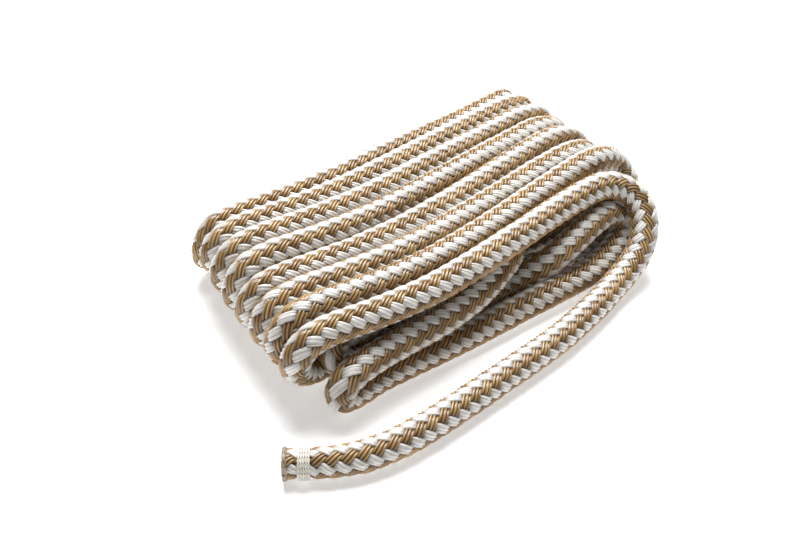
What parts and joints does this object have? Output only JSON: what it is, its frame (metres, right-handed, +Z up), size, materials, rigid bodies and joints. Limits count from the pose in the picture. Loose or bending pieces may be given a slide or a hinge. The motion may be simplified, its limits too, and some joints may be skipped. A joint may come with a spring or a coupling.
{
  "type": "coiled dock line",
  "caption": "Double-braid mooring rope laid down in long flat turns, with a slack turn in front and a loose free end whipped with twine and heat-sealed.",
  "frame": {"origin": "on the surface the coil rests on, at the middle of the bounding box", "axes": "+X along the turns, towards the end where the tail leaves the coil; +Y from the tail to the back turn; +Z up"},
  "size_m": [0.2352, 0.156, 0.0429],
  "materials": {
    "gold_cover_yarn": "glossy filament nylon, gold",
    "white_cover_yarn": "glossy filament nylon, white",
    "white_core_yarn": "satin filament nylon, white",
    "whipping_twine": "waxed twisted twine, white",
    "melted_nylon": "melted and set nylon, satin"
  },
  "bodies": {
    "root": {"coiled_turns": "gold_cover_yarn", "slack_front_turn": "gold_cover_yarn", "tail_cover": "gold_cover_yarn", "tail_core": "white_core_yarn", "tail_whipping": "whipping_twine", "tail_heat_seal": "melted_nylon", "inner_end_cover": "gold_cover_yarn", "inner_end_core": "white_core_yarn", "inner_end_whipping": "whipping_twine", "inner_end_heat_seal": "melted_nylon"}
  },
  "joints": []
}
